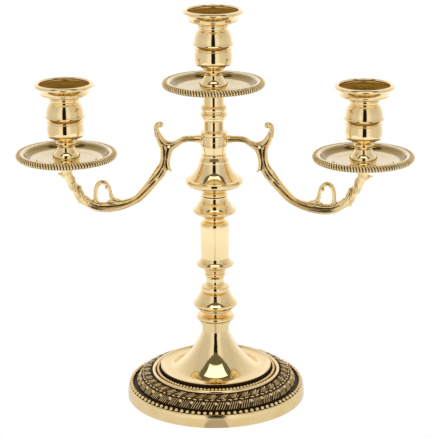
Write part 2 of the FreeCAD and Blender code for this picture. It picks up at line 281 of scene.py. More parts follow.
def bowl_and_bore(piece):
    """Mask builder for a candle cup: the wide bowl and the candle bore, dulled and darkened with painted
    shade.
    """
    corners = [Vector(corner) for corner in piece.bound_box]
    axis_x = (min(c.x for c in corners) + max(c.x for c in corners)) / 2
    seat = min(c.z for c in corners)

    def mask(tree):
        radius, height = radius_and_height(tree, axis_x)
        rise = maths(tree, "SUBTRACT", height, seat)
        bowl, lip, bore = (
            maths(tree, "MULTIPLY", beyond(tree, radius, edge, -fade), beyond(tree, rise, floor, blur))
            for edge, fade, floor, blur in CUP_HOLLOWS)
        bowl = maths(tree, "MAXIMUM", bowl, lip)
        return maths(tree, "MAXIMUM", bowl, bore)

    return mask


def pan_brass():
    """Spun pan: silkier than the turned sections, its steep wall darkened browner by painted shade."""
    material, tree, shader = new_material("pan_brass")
    shader.inputs["Metallic"].default_value = 1.0
    tone = ranged(tree, noise(tree, 45.0), 0.35, 0.65, 0.0, 1.0)
    bright = mixed(tree, tone, PAN_GOLD, PAN_GOLD_DEEP)
    # painted shade: the steep inner wall is mixed towards dark brown
    colour = mixed(tree, recess_amount(tree), bright, PAN_WALL_SHADE)
    tree.links.new(colour, shader.inputs["Base Color"])
    fine = noise(tree, 600.0, 3.0)
    tree.links.new(ranged(tree, fine, 0.3, 0.7, 0.09, 0.16), shader.inputs["Roughness"])
    bumped(tree, shader, fine, 0.02, 0.00005)
    return material


def antique_brass(name, patina_reach, roughness, patchiness, skin, deep_from=0.55):
    """Cast ornament: bright on the worn high spots, dark patina left in the recesses, with painted shade
    added where a piece's values carry it.
    """
    material, tree, shader = new_material(name)
    shader.inputs["Metallic"].default_value = 1.0
    patchy = ranged(tree, noise(tree, 260.0, 5.0), 0.3, 0.7, -patchiness, patchiness)
    amount = ranged(tree, maths(tree, "ADD", recess_amount(tree), patchy), *patina_reach, 0.0, 1.0)
    tone = ranged(tree, noise(tree, 70.0), 0.35, 0.65, 0.0, 1.0)
    bright = mixed(tree, tone, BRASS, CAST_BRASS_DEEP)
    warm = mixed(tree, amount, bright, PATINA_WARM)
    deep = ranged(tree, amount, deep_from, 1.0, 0.0, 1.0)
    tree.links.new(mixed(tree, deep, warm, PATINA), shader.inputs["Base Color"])
    tree.links.new(ranged(tree, amount, 0.0, 1.0, roughness, 0.5), shader.inputs["Roughness"])
    bumped(tree, shader, noise(tree, 300.0, 3.0), skin, 0.0001)
    return material


def zinc_steel():
    """Zinc-plated fasteners with a faint spangle."""
    material, tree, shader = new_material("zinc_steel")
    shader.inputs["Metallic"].default_value = 1.0
    spangle = ranged(tree, noise(tree, 500.0), 0.35, 0.65, 0.0, 1.0)
    colour = mixed(tree, spangle, ZINC, ZINC_DARK)
    tree.links.new(colour, shader.inputs["Base Color"])
    tree.links.new(ranged(tree, spangle, 0.0, 1.0, 0.25, 0.4), shader.inputs["Roughness"])
    return material


MATERIALS = {
    "polished_brass": polished_brass("polished_brass"),
    "foot_brass": polished_brass("foot_brass", dish_edge),
    "pan_brass": pan_brass(),
    "cast_brass": antique_brass("cast_brass", (0.16, 0.90), 0.13, 0.02, 0.02, 0.70),
    "relief_brass": antique_brass("relief_brass", (0.26, 0.74), 0.14, 0.10, 0.05),
    "bead_brass": antique_brass("bead_brass", (0.40, 0.95), 0.22, 0.04, 0.02),
    "zinc_steel": zinc_steel(),
}


def dress(piece, material):
    piece.data.materials.clear()
    piece.data.materials.append(MATERIALS[material])
    return piece


# --- drip pans: lathed dish and roped rim ----------------------------------------------------------
PAN_COLUMNS = 240
ROPE_FLUTES = 106
ROPE_COLUMNS_PER_FLUTE = 7
ROPE_ROWS = 24
ROPE_CIRCLE = 40.2           # millimetres, as are the next three
ROPE_HEIGHT = 6.0            # above the cup's seat
ROPE_VALLEY = 1.9
ROPE_RIDGE = 2.85
ROPE_SLANT = 2.2             # flutes the rope's lay crosses in one turn of its section


def bowed(start, end, swell, count):
    """Points of an arc between two (radius, height) points, swelling outward and up."""
    start, end = np.array(start), np.array(end)
    chord = end - start
    length = np.linalg.norm(chord)
    outward = np.array([chord[1], -chord[0]]) / length
    t = np.linspace(0, 1, count)[:, None]
    return start + chord * t + outward * swell * 4 * t * (1 - t)


def pan_dish(name):
    """Lathed pan: flat floor, low step, steep wall, lip that the rope sits round."""
    centre = pan_centre(name)
    section = [(3.4, 0.0), (11.8, 0.0), (18.0, 0.7), (24.4, 1.45)]
    section += list(bowed((24.8, 1.6), (26.2, 2.3), -0.12, 5))
    section += [(27.6, 2.55), (29.8, 3.0)]
    section += list(bowed((30.2, 3.1), (36.4, 7.9), 0.8, 14))
    section += list(bowed((36.8, 8.2), (38.2, 8.6), -0.12, 4))
    section += [(39.0, 8.3), (40.2, 7.4), (40.2, 4.6), (39.0, 4.3)]
    section += list(bowed((38.0, 4.0), (30.4, 1.2), 0.35, 8))
    section += [(21.0, -0.5), (12.0, -1.9), (9.0, -2.2), (8.6, -3.9), (8.2, -4.0), (3.4, -4.0)]
    radius, height = np.array(section).T
    # painted shade: marks the pan's steep inner wall for the darker brown
    on_wall = smooth_step(30.0, 31.6, radius) * (1 - smooth_step(35.4, 36.6, radius)) * (height > 2.5)
    points = around_axis(radius * MM, height * MM, PAN_COLUMNS) + np.array(centre)
    recess = np.broadcast_to(on_wall, (PAN_COLUMNS, len(section)))
    faces = torus_faces(PAN_COLUMNS, len(section))
    piece = make_object(f"{name}_pan_dish", points.reshape(-1, 3), faces, recess)
    piece.data.set_sharp_from_angle(angle=math.radians(40))
    return dress(piece, "pan_brass")


def rope_rim(name):
    """Twisted rope laid round the pan's edge."""
    centre = pan_centre(name)
    columns = ROPE_FLUTES * ROPE_COLUMNS_PER_FLUTE
    around = np.arange(columns)[:, None] / columns * TURN
    section = np.arange(ROPE_ROWS)[None, :] / ROPE_ROWS * TURN
    lay = ROPE_FLUTES * around + ROPE_SLANT * section
    ridge = np.abs(np.sin(lay / 2))
    radius = (ROPE_VALLEY + (ROPE_RIDGE - ROPE_VALLEY) * ridge) * MM
    ring_radius = ROPE_CIRCLE * MM + radius * np.cos(section)
    ring_height = centre.z + ROPE_HEIGHT * MM + radius * np.sin(section)
    points = np.stack([centre.x + ring_radius * np.cos(around), ring_radius * np.sin(around),
                       ring_height + 0 * around], axis=-1)
    recess = np.clip(1.45 - 1.5 * ridge, 0, 1)
    piece = make_object(f"{name}_rope_rim", points.reshape(-1, 3), torus_faces(columns, ROPE_ROWS), recess)
    return dress(piece, "relief_brass")


for pan in PAN_NAMES:
    body = "column" if pan == "centre" else "branch"
    dish = pan_dish(pan)
    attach(dish, body)
    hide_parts(f"{pan}_drip_pan")
    rim = rope_rim(pan)
    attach(rim, body)


# --- base: casting, ornament band and two rows of beads ------------------------------------------
BASE_COLUMNS = 288
BEAD_COUNT_OUTER = 92
BEAD_COUNT_INNER = 100
OUTER_BEAD_CIRCLE = 73.75 * MM
OUTER_BEAD_RADIUS = 1.75 * MM
OUTER_BEAD_HEIGHT = 11.5 * MM
INNER_BEAD_CIRCLE = 50.2 * MM
INNER_BEAD_RADIUS = 1.5 * MM
INNER_BEAD_HEIGHT = 23.1 * MM
BAND_OUTER = (69.9, 11.6)    # foot and top of the ornament band, radius and height in millimetres
BAND_INNER = (56.0, 22.3)
BAND_SWELL = 2.8


def base_casting():
    """Hollow foot seen between the ornaments: plinth, bead gutters and fillet."""
    plinth = bowed((77.2, 0.8), (76.0, 10.3), 0.30, 12)
    fillet = bowed((55.4, 23.2), (52.9, 23.3), 0.9, 9)
    under = bowed((56.0, 17.8), (68.5, 8.6), 1.6, 7)
    bright, dark, dull = 0.0, 1.0, 0.55
    section = [((74.2, 0.0), dull), ((76.9, 0.0), bright), ((77.15, 0.3), bright)]
    section += [(point, bright) for point in plinth]
    section += [((75.7, 10.75), bright), ((75.4, 10.85), 0.4), ((75.1, 10.8), dark), ((70.6, 10.7), dark)]
    section += [((69.4, 11.2), dark), ((55.6, 21.5), dark), ((55.55, 22.6), 0.3)]
    section += [(point, bright) for point in fillet]
    section += [((52.3, 22.7), 0.6), ((52.1, 22.1), dark), ((48.5, 22.0), dark), ((44.0, 22.0), dark)]
    section += [((44.0, 17.8), dull)]
    section += [(point, dull) for point in under]
    section += [((74.2, 7.4), dull)]
    radius = np.array([point[0] for point, _ in section]) * MM
    height = np.array([point[1] for point, _ in section]) * MM
    piece = swept_ring("base_casting", radius, height, BASE_COLUMNS, [amount for _, amount in section])
    piece.data.set_sharp_from_angle(angle=math.radians(32))
    return dress(piece, "relief_brass")


BAND_UNITS = 40
BAND_COLUMNS_PER_UNIT = 40
BAND_ROWS = 40


def band_relief(along, across):
    """Height in millimetres of the laurel ornament.

    along counts units round the base, across runs from 0 at the foot to 1 at the top.
    """
    unit_width, band_width = 9.9, 17.6
    ground, slope = 0.80, 0.75
    berry_place, berry_level, berry_radius = 0.10, 0.36, 1.6
    place = (along - slope * across) % 1.0
    strokes = np.maximum(0, np.cos((place - 0.33) / 0.19 * TURN)) ** 0.6
    strokes *= smooth_step(0.22, 0.27, place) * (1 - smooth_step(0.94, 0.99, place))
    strokes *= smooth_step(0.03, 0.10, across) * (1 - smooth_step(0.42, 0.50, across))
    berry_along = (along - slope * berry_level) % 1.0 - berry_place
    berry = np.hypot(berry_along * unit_width, (across - berry_level) * band_width) / berry_radius
    berry = np.sqrt(np.maximum(0, 1 - berry ** 2))
    stem = np.exp(-((place - berry_place) / 0.035) ** 2)
    stem = stem * smooth_step(0.03, 0.08, across) * (1 - smooth_step(0.26, 0.32, across))
    wave = 0.55 + 0.02 * np.sin(along * TURN)
    crown = np.exp(-((across - wave) / 0.045) ** 2) * (0.75 + 0.25 * np.sin(along * TURN * 2 + 0.6))
    sway = 0.10 * np.sin(along * TURN) + 0.05 * np.sin(along * TURN * 0.5 + 1.0)
    drift = along * 5 - 5.6 * (across - 0.6) + sway * 5
    hatch = np.abs(np.sin(drift * TURN / 2))
    leaf = 0.84 + 0.16 * np.sin((along - 1.1 * across) * TURN)
    blades = hatch * leaf * smooth_step(0.58, 0.64, across) * (1 - smooth_step(0.90, 0.985, across))
    ornaments = [0.88 * strokes, 1.3 * berry, 0.7 * stem, 1.05 * crown, 0.86 * blades]
    height = np.maximum.reduce(ornaments) - ground
    rim = np.maximum(1 - smooth_step(0.0, 0.03, across), smooth_step(0.97, 1.0, across))
    return height * (1 - rim) - ground * rim


def ornament_band():
    """Cast laurel band: berries and hatched leaves under a bright crown line, slanted blades above."""
    columns = BAND_UNITS * BAND_COLUMNS_PER_UNIT
    along = (np.arange(columns) / BAND_COLUMNS_PER_UNIT)[:, None]
    across = np.linspace(0, 1, BAND_ROWS)[None, :]
    relief = band_relief(along, across)
    line = bowed(BAND_OUTER, BAND_INNER, BAND_SWELL, BAND_ROWS)
    tangent = np.gradient(line, axis=0)
    tangent /= np.linalg.norm(tangent, axis=1)[:, None]
    outward = np.stack([tangent[:, 1], -tangent[:, 0]], axis=1)
    radius = line[:, 0] + outward[:, 0] * relief
    height = line[:, 1] + outward[:, 1] * relief
    recess = np.clip((0.16 - relief) / 0.62, 0, 1)
    back = np.broadcast_to(np.array([[BAND_INNER[0] - 0.2, BAND_OUTER[0] - 3.0]]), (columns, 2))
    back_height = np.broadcast_to(np.array([[BAND_INNER[1] - 2.6, BAND_OUTER[1] - 0.9]]), (columns, 2))
    radius = np.concatenate([radius, back], axis=1)
    height = np.concatenate([height, back_height], axis=1)
    recess = np.concatenate([recess, np.ones((columns, 2))], axis=1)
    piece = swept_ring("ornament_band", radius * MM, height * MM, columns, recess)
    return dress(piece, "relief_brass")


def beading(name, count, circle, bead_radius, height):
    """Row of round beads standing in a gutter; painted shade darkens their lower halves."""
    rings, sides = 7, 12
    points, faces, recess = [], [], []
    for bead in range(count):
        angle = bead / count * TURN
        centre = np.array([circle * math.cos(angle), circle * math.sin(angle), height])
        first = len(points)
        points.append(centre + Z_AXIS * bead_radius)
        recess.append(0.0)
        for ring in range(1, rings):
            tilt = math.pi * ring / rings
            for side in range(sides):
                turn = TURN * side / sides
                outward = math.sin(tilt)
                offset = np.array([outward * math.cos(turn), outward * math.sin(turn), math.cos(tilt)])
                points.append(centre + offset * bead_radius)
                # painted shade: each bead darkens the further its surface faces down
                recess.append(float(smooth_step(0.25, -0.35, offset[2])))
        points.append(centre - Z_AXIS * bead_radius)
        recess.append(1.0)
        last = len(points) - 1
        for side in range(sides):
            after = (side + 1) % sides
            faces.append((first, first + 1 + side, first + 1 + after))
            for ring in range(rings - 2):
                low = first + 1 + ring * sides
                faces.append((low + side, low + sides + side, low + sides + after, low + after))
            low = first + 1 + (rings - 2) * sides
            faces.append((low + after, low + side, last))
    return dress(make_object(name, points, faces, recess), "bead_brass")


BASE_PIECES = [
    base_casting(),
    ornament_band(),
    beading("outer_beading", BEAD_COUNT_OUTER, OUTER_BEAD_CIRCLE, OUTER_BEAD_RADIUS, OUTER_BEAD_HEIGHT),
    beading("inner_beading", BEAD_COUNT_INNER, INNER_BEAD_CIRCLE, INNER_BEAD_RADIUS, INNER_BEAD_HEIGHT),
]
for base_piece in BASE_PIECES:
    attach(base_piece, "column")
    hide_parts("base_ring")


# --- arms ---------------------------------------------------------------------------------------
VOXEL = 0.38 * MM
ARM_TARNISH = 0.20           # patina on the open faces, then what hollows and grooves add, and the painted shade of the broad dark fields
HOLLOW_GAIN = 1.3
GROOVE_GAIN = 0.32
SHADE_FIELD_GAIN = 1.5
GROOVE_SPREAD = 1.75         # how far a groove's soft shoulders reach past its half width
ARM_SIDES = 20


def strand(stations, per_span=6):
    """Closed tube through stations (x, z, y, half width, half thickness), in millimetres."""
    rows = curve_through(stations, per_span)
    centres = rows[:, [0, 2, 1]]
    tangent = np.gradient(centres, axis=0)
    across = np.stack([-tangent[:, 2], np.zeros(len(rows)), tangent[:, 0]], axis=1)
    across /= np.linalg.norm(across, axis=1)[:, None]
    heading = tangent / np.linalg.norm(tangent, axis=1)[:, None]
    rings = []
    cap = [math.radians(angle) for angle in (80, 55, 30)]

    def section(index, shrink, push):
        angle = np.arange(ARM_SIDES) / ARM_SIDES * TURN
        width, depth = max(rows[index, 3], 0.2), max(rows[index, 4], 0.2)
        centre = centres[index] + heading[index] * push * min(width, depth)
        return (centre + np.outer(np.cos(angle) * width * shrink, across[index])
                + np.outer(np.sin(angle) * depth * shrink, np.array([0.0, 1.0, 0.0])))

    rings += [section(0, math.cos(a), -math.sin(a)) for a in cap]
    rings += [section(i, 1.0, 0.0) for i in range(len(rows))]
    rings += [section(-1, math.cos(a), math.sin(a)) for a in reversed(cap)]
    points = [point for ring in rings for point in ring]
    faces = []
    for ring in range(len(rings) - 1):
        for side in range(ARM_SIDES):
            after = (side + 1) % ARM_SIDES
            low = ring * ARM_SIDES
            faces.append((low + side, low + after, low + ARM_SIDES + after, low + ARM_SIDES + side))
    faces.append(tuple(range(ARM_SIDES)))
    faces.append(tuple(len(points) - 1 - side for side in range(ARM_SIDES)))
    return points, faces


def ball(x, z, radius):
    return strand([(x + shift, z, 0.0, radius, radius) for shift in (-0.01, 0.0, 0.01)], 1)


def twisted(path, turns, lead, offset, radius):
    """A strand wound round a path of (x, z) points, tapering at both ends."""
    path = curve_through([(x, z, 0, 0, 0) for x, z in path], 5)
    stations = []
    tangent = np.gradient(path[:, :2], axis=0)
    for index, (x, z) in enumerate(path[:, :2]):
        share = index / (len(path) - 1)
        angle = lead + turns * TURN * share
        dx, dz = tangent[index] / np.linalg.norm(tangent[index])
        swing = offset * math.cos(angle)
        size = radius * (0.35 + 0.65 * math.sin(math.pi * min(1.0, share * 1.15 + 0.08)))
        stations.append((x - dz * swing, z + dx * swing, offset * math.sin(angle), size, size))
    return strand(stations, 2)


def arm_strands():
    """Every reed, leaf and curl of the right arm, as closed shapes that overlap."""
    bar_top = [(10.2, 231.6, 0, 2.2, 3.2), (15.0, 231.3, 0, 1.7, 2.5), (21.0, 231.2, 0, 1.6, 2.4),
               (26.2, 230.4, 0, 1.7, 2.5), (31.4, 227.2, 0, 1.8, 2.6), (36.3, 225.8, 0, 2.0, 2.7),
               (41.2, 226.9, 0, 2.3, 2.8), (45.2, 231.0, 0, 2.5, 2.8), (47.8, 235.8, 0, 2.4, 2.6),
               (48.7, 239.8, 0, 2.0, 2.3), (47.6, 242.8, 0, 1.6, 2.0), (45.4, 243.4, 0, 1.4, 1.8),
               (44.4, 241.9, 0, 1.3, 1.7)]
    bar_under = [(10.2, 228.0, 0, 1.9, 2.9), (15.0, 228.6, 0, 1.5, 2.2), (21.0, 228.9, 0, 1.5, 2.1),
                 (26.2, 228.0, 0, 1.6, 2.3), (31.8, 224.6, 0, 1.9, 2.6), (36.2, 221.0, 0, 2.1, 2.9),
                 (38.4, 215.0, 0, 2.0, 3.1), (39.2, 209.0, 0, 1.9, 3.0), (38.4, 204.6, 0, 1.5, 2.5),
                 (36.5, 201.8, 0, 0.8, 1.4)]
    outer_leaf = [(48.6, 238.0, 0, 1.9, 2.4), (48.1, 233.2, 0, 2.0, 2.8), (46.2, 227.6, 0, 2.1, 3.1),
                  (43.9, 221.6, 0, 2.1, 3.4), (43.3, 215.6, 0, 2.1, 3.5), (44.2, 209.4, 0, 2.2, 3.6),
                  (46.9, 203.4, 0, 2.2, 3.6), (50.4, 198.0, 0, 2.1, 3.4), (53.8, 194.0, 0, 1.6, 2.9),
                  (56.4, 191.5, 0, 0.7, 1.6)]
    heart = [(43.0, 226.0, 0, 2.6, 2.4), (41.3, 219.0, 0, 3.2, 2.7), (41.2, 212.0, 0, 3.4, 2.9),
             (43.2, 205.0, 0, 4.2, 3.1), (47.4, 198.2, 0, 4.2, 3.2), (52.4, 191.4, 0, 3.8, 3.1),
             (58.2, 184.0, 0, 3.6, 3.0), (64.7, 177.5, 0, 3.3, 2.9), (73.4, 172.8, 0, 3.4, 2.9),
             (84.0, 169.6, 0, 3.6, 3.0), (95.0, 168.6, 0, 3.5, 3.0), (104.2, 170.4, 0, 3.3, 2.9),
             (111.4, 174.9, 0, 3.2, 3.0), (116.7, 181.6, 0, 3.3, 3.2), (120.9, 189.0, 0, 3.4, 3.3),
             (124.2, 196.0, 0, 3.9, 3.9), (125.4, 204.6, 0, 4.4, 4.4)]
    lower_reed = [(40.6, 204.2, 0, 1.8, 2.8), (43.6, 199.4, 0, 2.3, 3.4), (48.6, 193.4, 0, 2.3, 3.6),
                  (55.2, 185.8, 0, 2.3, 3.6), (62.2, 178.8, 0, 2.3, 3.5), (69.2, 173.9, 0, 2.3, 3.5),
                  (76.2, 170.6, 0, 2.3, 3.5), (84.6, 168.2, 0, 2.4, 3.5), (94.0, 167.0, 0, 2.4, 3.5),
                  (102.2, 168.2, 0, 2.3, 3.4), (109.0, 172.2, 0, 2.0, 3.3), (113.6, 177.6, 0, 1.6, 3.0)]
    upper_reed = [(46.4, 206.4, 0, 1.5, 2.8), (51.0, 198.8, 0, 1.9, 3.4), (56.6, 190.2, 0, 2.1, 3.6),
                  (62.0, 183.4, 0, 2.1, 3.5), (67.9, 177.6, 0, 2.0, 3.4), (74.8, 174.6, 0, 2.1, 3.4),
                  (82.0, 173.4, 0, 2.1, 3.4), (90.0, 172.2, 0, 2.0, 3.4), (98.0, 172.0, 0, 2.0, 3.3),
                  (105.2, 174.0, 0, 1.9, 3.2), (110.0, 178.2, 0, 1.5, 2.8)]
    hook = [(99.0, 170.2, 0, 2.6, 3.1), (101.2, 174.4, 0, 2.2, 2.9), (101.4, 179.4, 0, 1.9, 2.7),
            (101.0, 185.0, 0, 1.9, 2.6), (99.2, 189.6, 0, 1.9, 2.6), (95.8, 191.5, 0, 1.9, 2.5),
            (92.6, 190.6, 0, 1.9, 2.4), (91.0, 188.2, 0, 1.8, 2.3), (92.4, 186.4, 0, 1.3, 1.9)]
    sprig = [(89.9, 187.6, 0, 1.6, 2.2), (88.9, 183.4, 0, 1.5, 2.2), (88.4, 179.6, 0, 1.7, 2.4),
             (86.2, 176.2, 0, 2.0, 2.6), (83.0, 174.0, 0, 1.8, 2.5)]
    sprig_leaf = [(90.4, 173.4, 0, 1.8, 2.8), (86.8, 175.6, 0, 1.7, 2.8), (83.0, 176.0, 0, 1.2, 2.2),
                  (79.6, 175.2, 0, 0.6, 1.2)]
    shapes = [strand(line) for line in (bar_top, bar_under, outer_leaf, heart, lower_reed, upper_reed, hook,
                                        sprig, sprig_leaf)]
    shapes += [ball(44.9, 242.2, 2.7), ball(90.0, 186.4, 2.1), ball(88.9, 183.0, 1.9), ball(88.4, 179.8, 2.1)]
    riser = [(108.6, 172.6), (113.2, 177.2), (117.4, 183.4), (120.9, 189.6), (123.9, 196.6), (125.3, 203.8)]
    shapes += [twisted(riser, 0.85, lead, 2.5, 2.3) for lead in (0.2, 0.2 + TURN / 3, 0.2 + 2 * TURN / 3)]
    tips = [[(112.0, 173.2, 0, 1.8, 2.4), (114.6, 173.3, 0, 1.2, 1.8), (116.4, 172.4, 0, 0.5, 0.8)],
            [(128.2, 196.6, 0, 1.8, 2.4), (131.2, 198.2, 0, 1.4, 1.8), (133.2, 198.4, 0, 0.5, 0.9)],
            [(114.6, 182.6, 0, 1.5, 2.2), (114.0, 185.8, 0, 1.2, 1.8), (114.4, 188.0, 0, 0.5, 0.8)],
            [(119.2, 191.0, 0, 1.5, 2.2), (119.4, 194.4, 0, 1.1, 1.8), (120.6, 197.2, 0, 0.5, 0.9)]]
    shapes += [strand(tip) for tip in tips]
    collar = [(125.4, 201.0, 0, 5.0, 5.0), (125.4, 203.4, 0, 5.3, 5.3), (125.4, 204.7, 0, 5.2, 5.2)]
    shapes.append(strand(collar, 2))
    return shapes


# Lines cut into both faces of the right arm: points (x, z), half width and depth, in millimetres.
ARM_GROOVES = [
    ([(38.5, 222.5), (40.2, 216.0), (40.6, 210.0), (40.2, 204.5), (38.6, 202.2)], 0.55, 0.75),
    ([(37.0, 223.6), (41.0, 223.9), (44.2, 226.8), (46.4, 231.2), (47.4, 236.0)], 0.5, 0.7),
    ([(42.6, 224.0), (41.9, 218.0), (42.0, 212.0), (43.8, 206.0), (47.2, 200.6), (51.4, 195.6),
      (55.2, 191.8)], 0.55, 0.8),
    ([(41.2, 221.6), (41.6, 213.4)], 0.45, 0.6),
    ([(41.3, 209.0), (43.2, 202.4), (46.6, 197.0)], 0.45, 0.6),
    ([(50.5, 193.6), (57.0, 185.8), (63.8, 179.2), (71.6, 174.4), (80.0, 171.6), (90.0, 170.2), (99.0, 170.3),
      (105.5, 173.2)], 0.6, 0.7),
    ([(80.2, 173.0), (86.0, 172.9), (92.0, 174.6), (97.2, 174.6)], 0.45, 0.55),
    ([(12.5, 229.9), (21.0, 230.0), (26.4, 229.0), (32.2, 225.9), (37.0, 223.6)], 0.45, 0.55),
]
# Punched pits, and broad fields of painted shade, on both faces: x, z, radius and depth or strength.
ARM_PITS = [(39.7, 214.6, 0.8, 1.1), (43.6, 202.8, 0.7, 0.8), (44.9, 241.2, 0.9, 1.0),
            (91.4, 188.2, 0.8, 0.9)]
ARM_SHADE_FIELDS = [(40.2, 218.0, 4.4, 0.34), (40.6, 208.0, 3.6, 0.34), (44.6, 199.6, 4.0, 0.26),
              (52.0, 191.0, 3.6, 0.2), (88.0, 169.6, 9.0, 0.16), (98.0, 171.0, 6.0, 0.16),
              (38.0, 226.0, 3.6, 0.2), (119.0, 186.0, 5.0, 0.12)]


def distance_to_line(points, line):
    """Least distance of (x, z) points from a run of straight pieces."""
    best = np.full(len(points), 1e9)
    for start, end in zip(line[:-1], line[1:]):
        start, along = np.array(start), np.subtract(end, start)
        t = np.clip((points - start) @ along / (along @ along), 0, 1)[:, None]
        best = np.minimum(best, np.linalg.norm(points - start - along * t, axis=1))
    return best


def fused(name, shapes):
    """One watertight skin over overlapping closed shapes given in millimetres."""
    points, faces = [], []
    for shape_points, shape_faces in shapes:
        first = len(points)
        points += [np.asarray(point) * MM for point in shape_points]
        faces += [tuple(first + index for index in face) for face in shape_faces]
    piece = make_object(name, points, faces)
    remesh = piece.modifiers.new("skin", "REMESH")
    remesh.mode = "VOXEL"
    remesh.voxel_size = VOXEL
    relax = piece.modifiers.new("relax", "SMOOTH")
    relax.factor = 0.5
    relax.iterations = 4
    shown = piece.evaluated_get(bpy.context.evaluated_depsgraph_get())
    mesh = bpy.data.meshes.new_from_object(shown)
    bpy.data.objects.remove(piece)
    return mesh


def mesh_arrays(mesh):
    points = np.zeros(len(mesh.vertices) * 3)
    mesh.vertices.foreach_get("co", points)
    normals = np.zeros(len(mesh.vertices) * 3)
    mesh.vertices.foreach_get("normal", normals)
    edges = np.zeros(len(mesh.edges) * 2, dtype=np.int64)
    mesh.edges.foreach_get("vertices", edges)
    return points.reshape(-1, 3), normals.reshape(-1, 3), edges.reshape(-1, 2)


def neighbour_mean(values, edges, count):
    total = np.zeros((count,) + values.shape[1:])
    number = np.zeros(count)
    for near, far in ((0, 1), (1, 0)):
        np.add.at(total, edges[:, near], values[edges[:, far]])
        np.add.at(number, edges[:, near], 1)
    number = np.maximum(number, 1)
    return total / (number[:, None] if values.ndim > 1 else number)


def hollowness(points, normals, edges):
    """0 on flats and ridges, 1 in tight hollows."""
    count = len(points)
    middle = points
    for _ in range(4):
        middle = neighbour_mean(middle, edges, count)
    depth = np.einsum("ij,ij->i", middle - points, normals) / VOXEL
    for _ in range(2):
        depth = neighbour_mean(depth, edges, count)
    return depth


def spot(points, x, z, radius):
    """1 at a place on the arm's face, fading away round it."""
    return np.exp(-(np.hypot(points[:, 0] - x, points[:, 1] - z) / radius) ** 2)


def carved_arm(mirror):
    """Right arm's cast skin with its engraved lines; the left arm is its mirror image."""
    mesh = fused("arm_blank", arm_strands())
    points, normals, edges = mesh_arrays(mesh)
    flat = points[:, [0, 2]] / MM
    facing = smooth_step(0.2, 0.6, np.abs(normals[:, 1]))
    groove = np.zeros(len(points))
    for line, half_width, depth in ARM_GROOVES:
        cut = np.exp(-(distance_to_line(flat, line) / (half_width * GROOVE_SPREAD)) ** 2)
        groove = np.maximum(groove, cut * depth * facing)
    for x, z, radius, depth in ARM_PITS:
        groove = np.maximum(groove, spot(flat, x, z, radius) * depth * facing)
    # painted shade: broad dark fields over the elbow, crook and riser
    patina_and_shade = np.zeros(len(points))
    for x, z, radius, strength in ARM_SHADE_FIELDS:
        patina_and_shade = np.maximum(patina_and_shade, spot(flat, x, z, radius) * strength * facing)
    points[:, 1] -= np.sign(normals[:, 1]) * groove * MM
    hollow = hollowness(points, normals, edges)
    recess = np.clip(ARM_TARNISH + hollow * HOLLOW_GAIN + groove * GROOVE_GAIN + patina_and_shade * SHADE_FIELD_GAIN, 0, 1)
    if mirror:
        points[:, 0] *= -1
    mesh.vertices.foreach_set("co", points.ravel())
    if mirror:
        mesh.flip_normals()
    store_recess(mesh, recess)
    mesh.shade_smooth()
    name = "left_scroll_arm" if mirror else "right_scroll_arm"
    return dress(put_in_scene(name, mesh), "cast_brass")


for mirror, node in ((False, "right_arm"), (True, "left_arm")):
    arm = carved_arm(mirror)
    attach(arm, "branch")
    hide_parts(node)


# --- carried-over CAD nodes ---------------------------------------------------------------------
def dress_cad_nodes():
    by_slot = {"polished_brass": "polished_brass", "antique_brass": "cast_brass", "pan_brass": "pan_brass",
               "zinc_steel": "zinc_steel"}
    for subpart in frame["record"]["subparts"]:
        node, slot = subpart["node"], subpart["material_slot"]
        piece = frame["nodes"][node]
        if slot == "cup_brass":
            # painted shade: the cup's bowl and bore turn a dull dark gold
            MATERIALS[node] = polished_brass(f"{node}_brass", bowl_and_bore(piece), DULL_SHADED_GOLD)
            dress(piece, node)
        elif node == "foot_trumpet":
            dress(piece, "foot_brass")
        else:
            dress(piece, by_slot[slot])


dress_cad_nodes()


# --- camera, light and floor --------------------------------------------------------------------
CAMERA_PLACE = Vector((0.0851, -1.3952, 0.5950))
CAMERA_TARGET = Vector((0.0, 0.0, 0.15995))
CAMERA_ROLL = math.radians(-0.483)
CAMERA_LENS = 141.43
CAMERA_SHIFT = 0.00204
SLIT_HALF_ANGLE = 12.0       # degrees each side of the camera
TABLE_HALF_WIDTH = 0.6
TABLE_DROP = 0.0002          # keeps the table clear of the base's underside
FRONT = math.atan2(CAMERA_PLACE.x, -CAMERA_PLACE.y)    # direction of the object's front, from -Y towards +X
WHITE = (1.0, 1.0, 1.0)
CEILING_COLOUR = (0.15, 0.14, 0.10)
LAMP_COLOUR = (1.9, 1.9, 1.95)
TABLE_GRAIN = (0.7, 0.7, 0.7)
# painted shade colour for the strip across the table towards the dark gap
STRIP_SHADE_COLOUR = (0.16, 0.10, 0.06)
LEAST_DIVISOR = 0.05         # keeps divisions finite near the horizon and the middle of the table
# The ceiling light, as shares of its height: where it starts and ends towards the front, and to each side.
LAMP_START = 0.08
LAMP_END = 0.54
LAMP_HALF_WIDTH = 0.37
LAMP_FADE = 0.02
# Brightness of the walls by height: share of the way to straight up, level.
LOW_BAND = [(0.0, 1.08), (0.12, 1.06), (0.26, 0.97)]
# Where the walls give way to the dark ceiling: share of a half turn from the camera, degrees of elevation.
CEILING_EDGE = [(0.0, 40.0), (0.08, 43.0), (0.28, 51.0), (0.42, 56.0), (0.56, 62.0), (1.0, 64.0)]


def add_camera():
    data = bpy.data.cameras.new("camera")
    data.lens = CAMERA_LENS
    data.sensor_width = 36.0
    data.shift_x = CAMERA_SHIFT
    camera = bpy.data.objects.new("camera", data)
    bpy.context.scene.collection.objects.link(camera)
    aim = (CAMERA_TARGET - CAMERA_PLACE).to_track_quat("-Z", "Y").to_matrix().to_4x4()
    camera.matrix_world = Matrix.Translation(CAMERA_PLACE) @ aim @ Matrix.Rotation(CAMERA_ROLL, 4, "Z")
    bpy.context.scene.camera = camera


